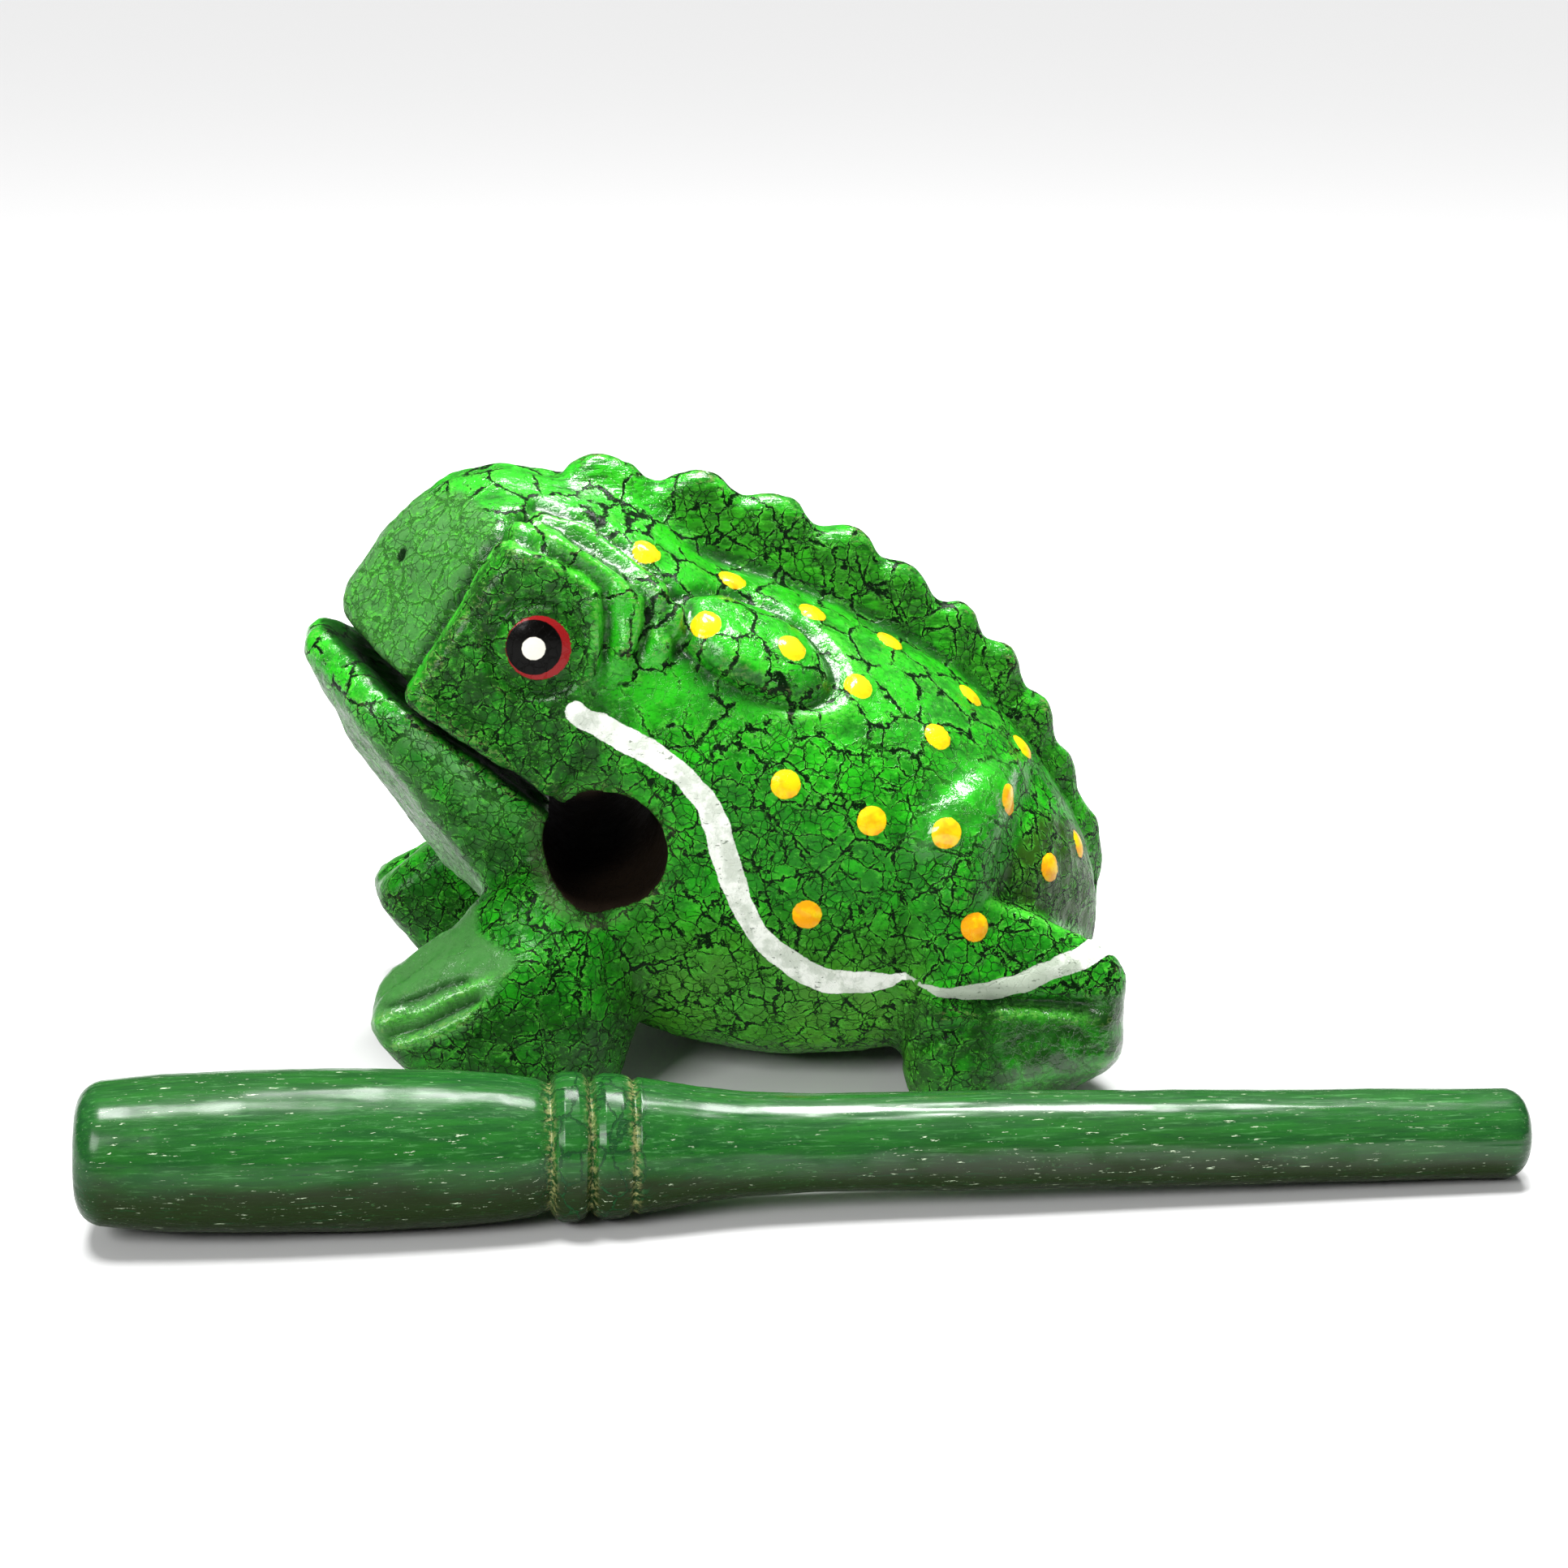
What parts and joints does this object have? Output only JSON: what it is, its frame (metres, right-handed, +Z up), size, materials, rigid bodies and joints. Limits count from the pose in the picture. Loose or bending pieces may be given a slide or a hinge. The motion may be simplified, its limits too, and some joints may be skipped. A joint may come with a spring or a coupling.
{
  "type": "frog guiro",
  "caption": "Carved wooden frog guiro with a toothed spine and a bored throat, and the turned scraper stick it is played with.",
  "frame": {"origin": "centre of the whole set's box, on the surface that the frog and the stick lie on", "axes": "+X along the stick, from its handle to its tip, and from the frog's nose to its rump; +Y from the stick towards the frog; +Z up"},
  "size_m": [0.1611, 0.0976, 0.074],
  "materials": {
    "frog_body": "green crackle lacquer, glossy, with yellow spots and a white stripe",
    "scraper_stick": "green stain under clear varnish, scratched"
  },
  "bodies": {
    "root": {"frog_body": "frog_body", "scraper_stick": "scraper_stick"}
  },
  "joints": []
}
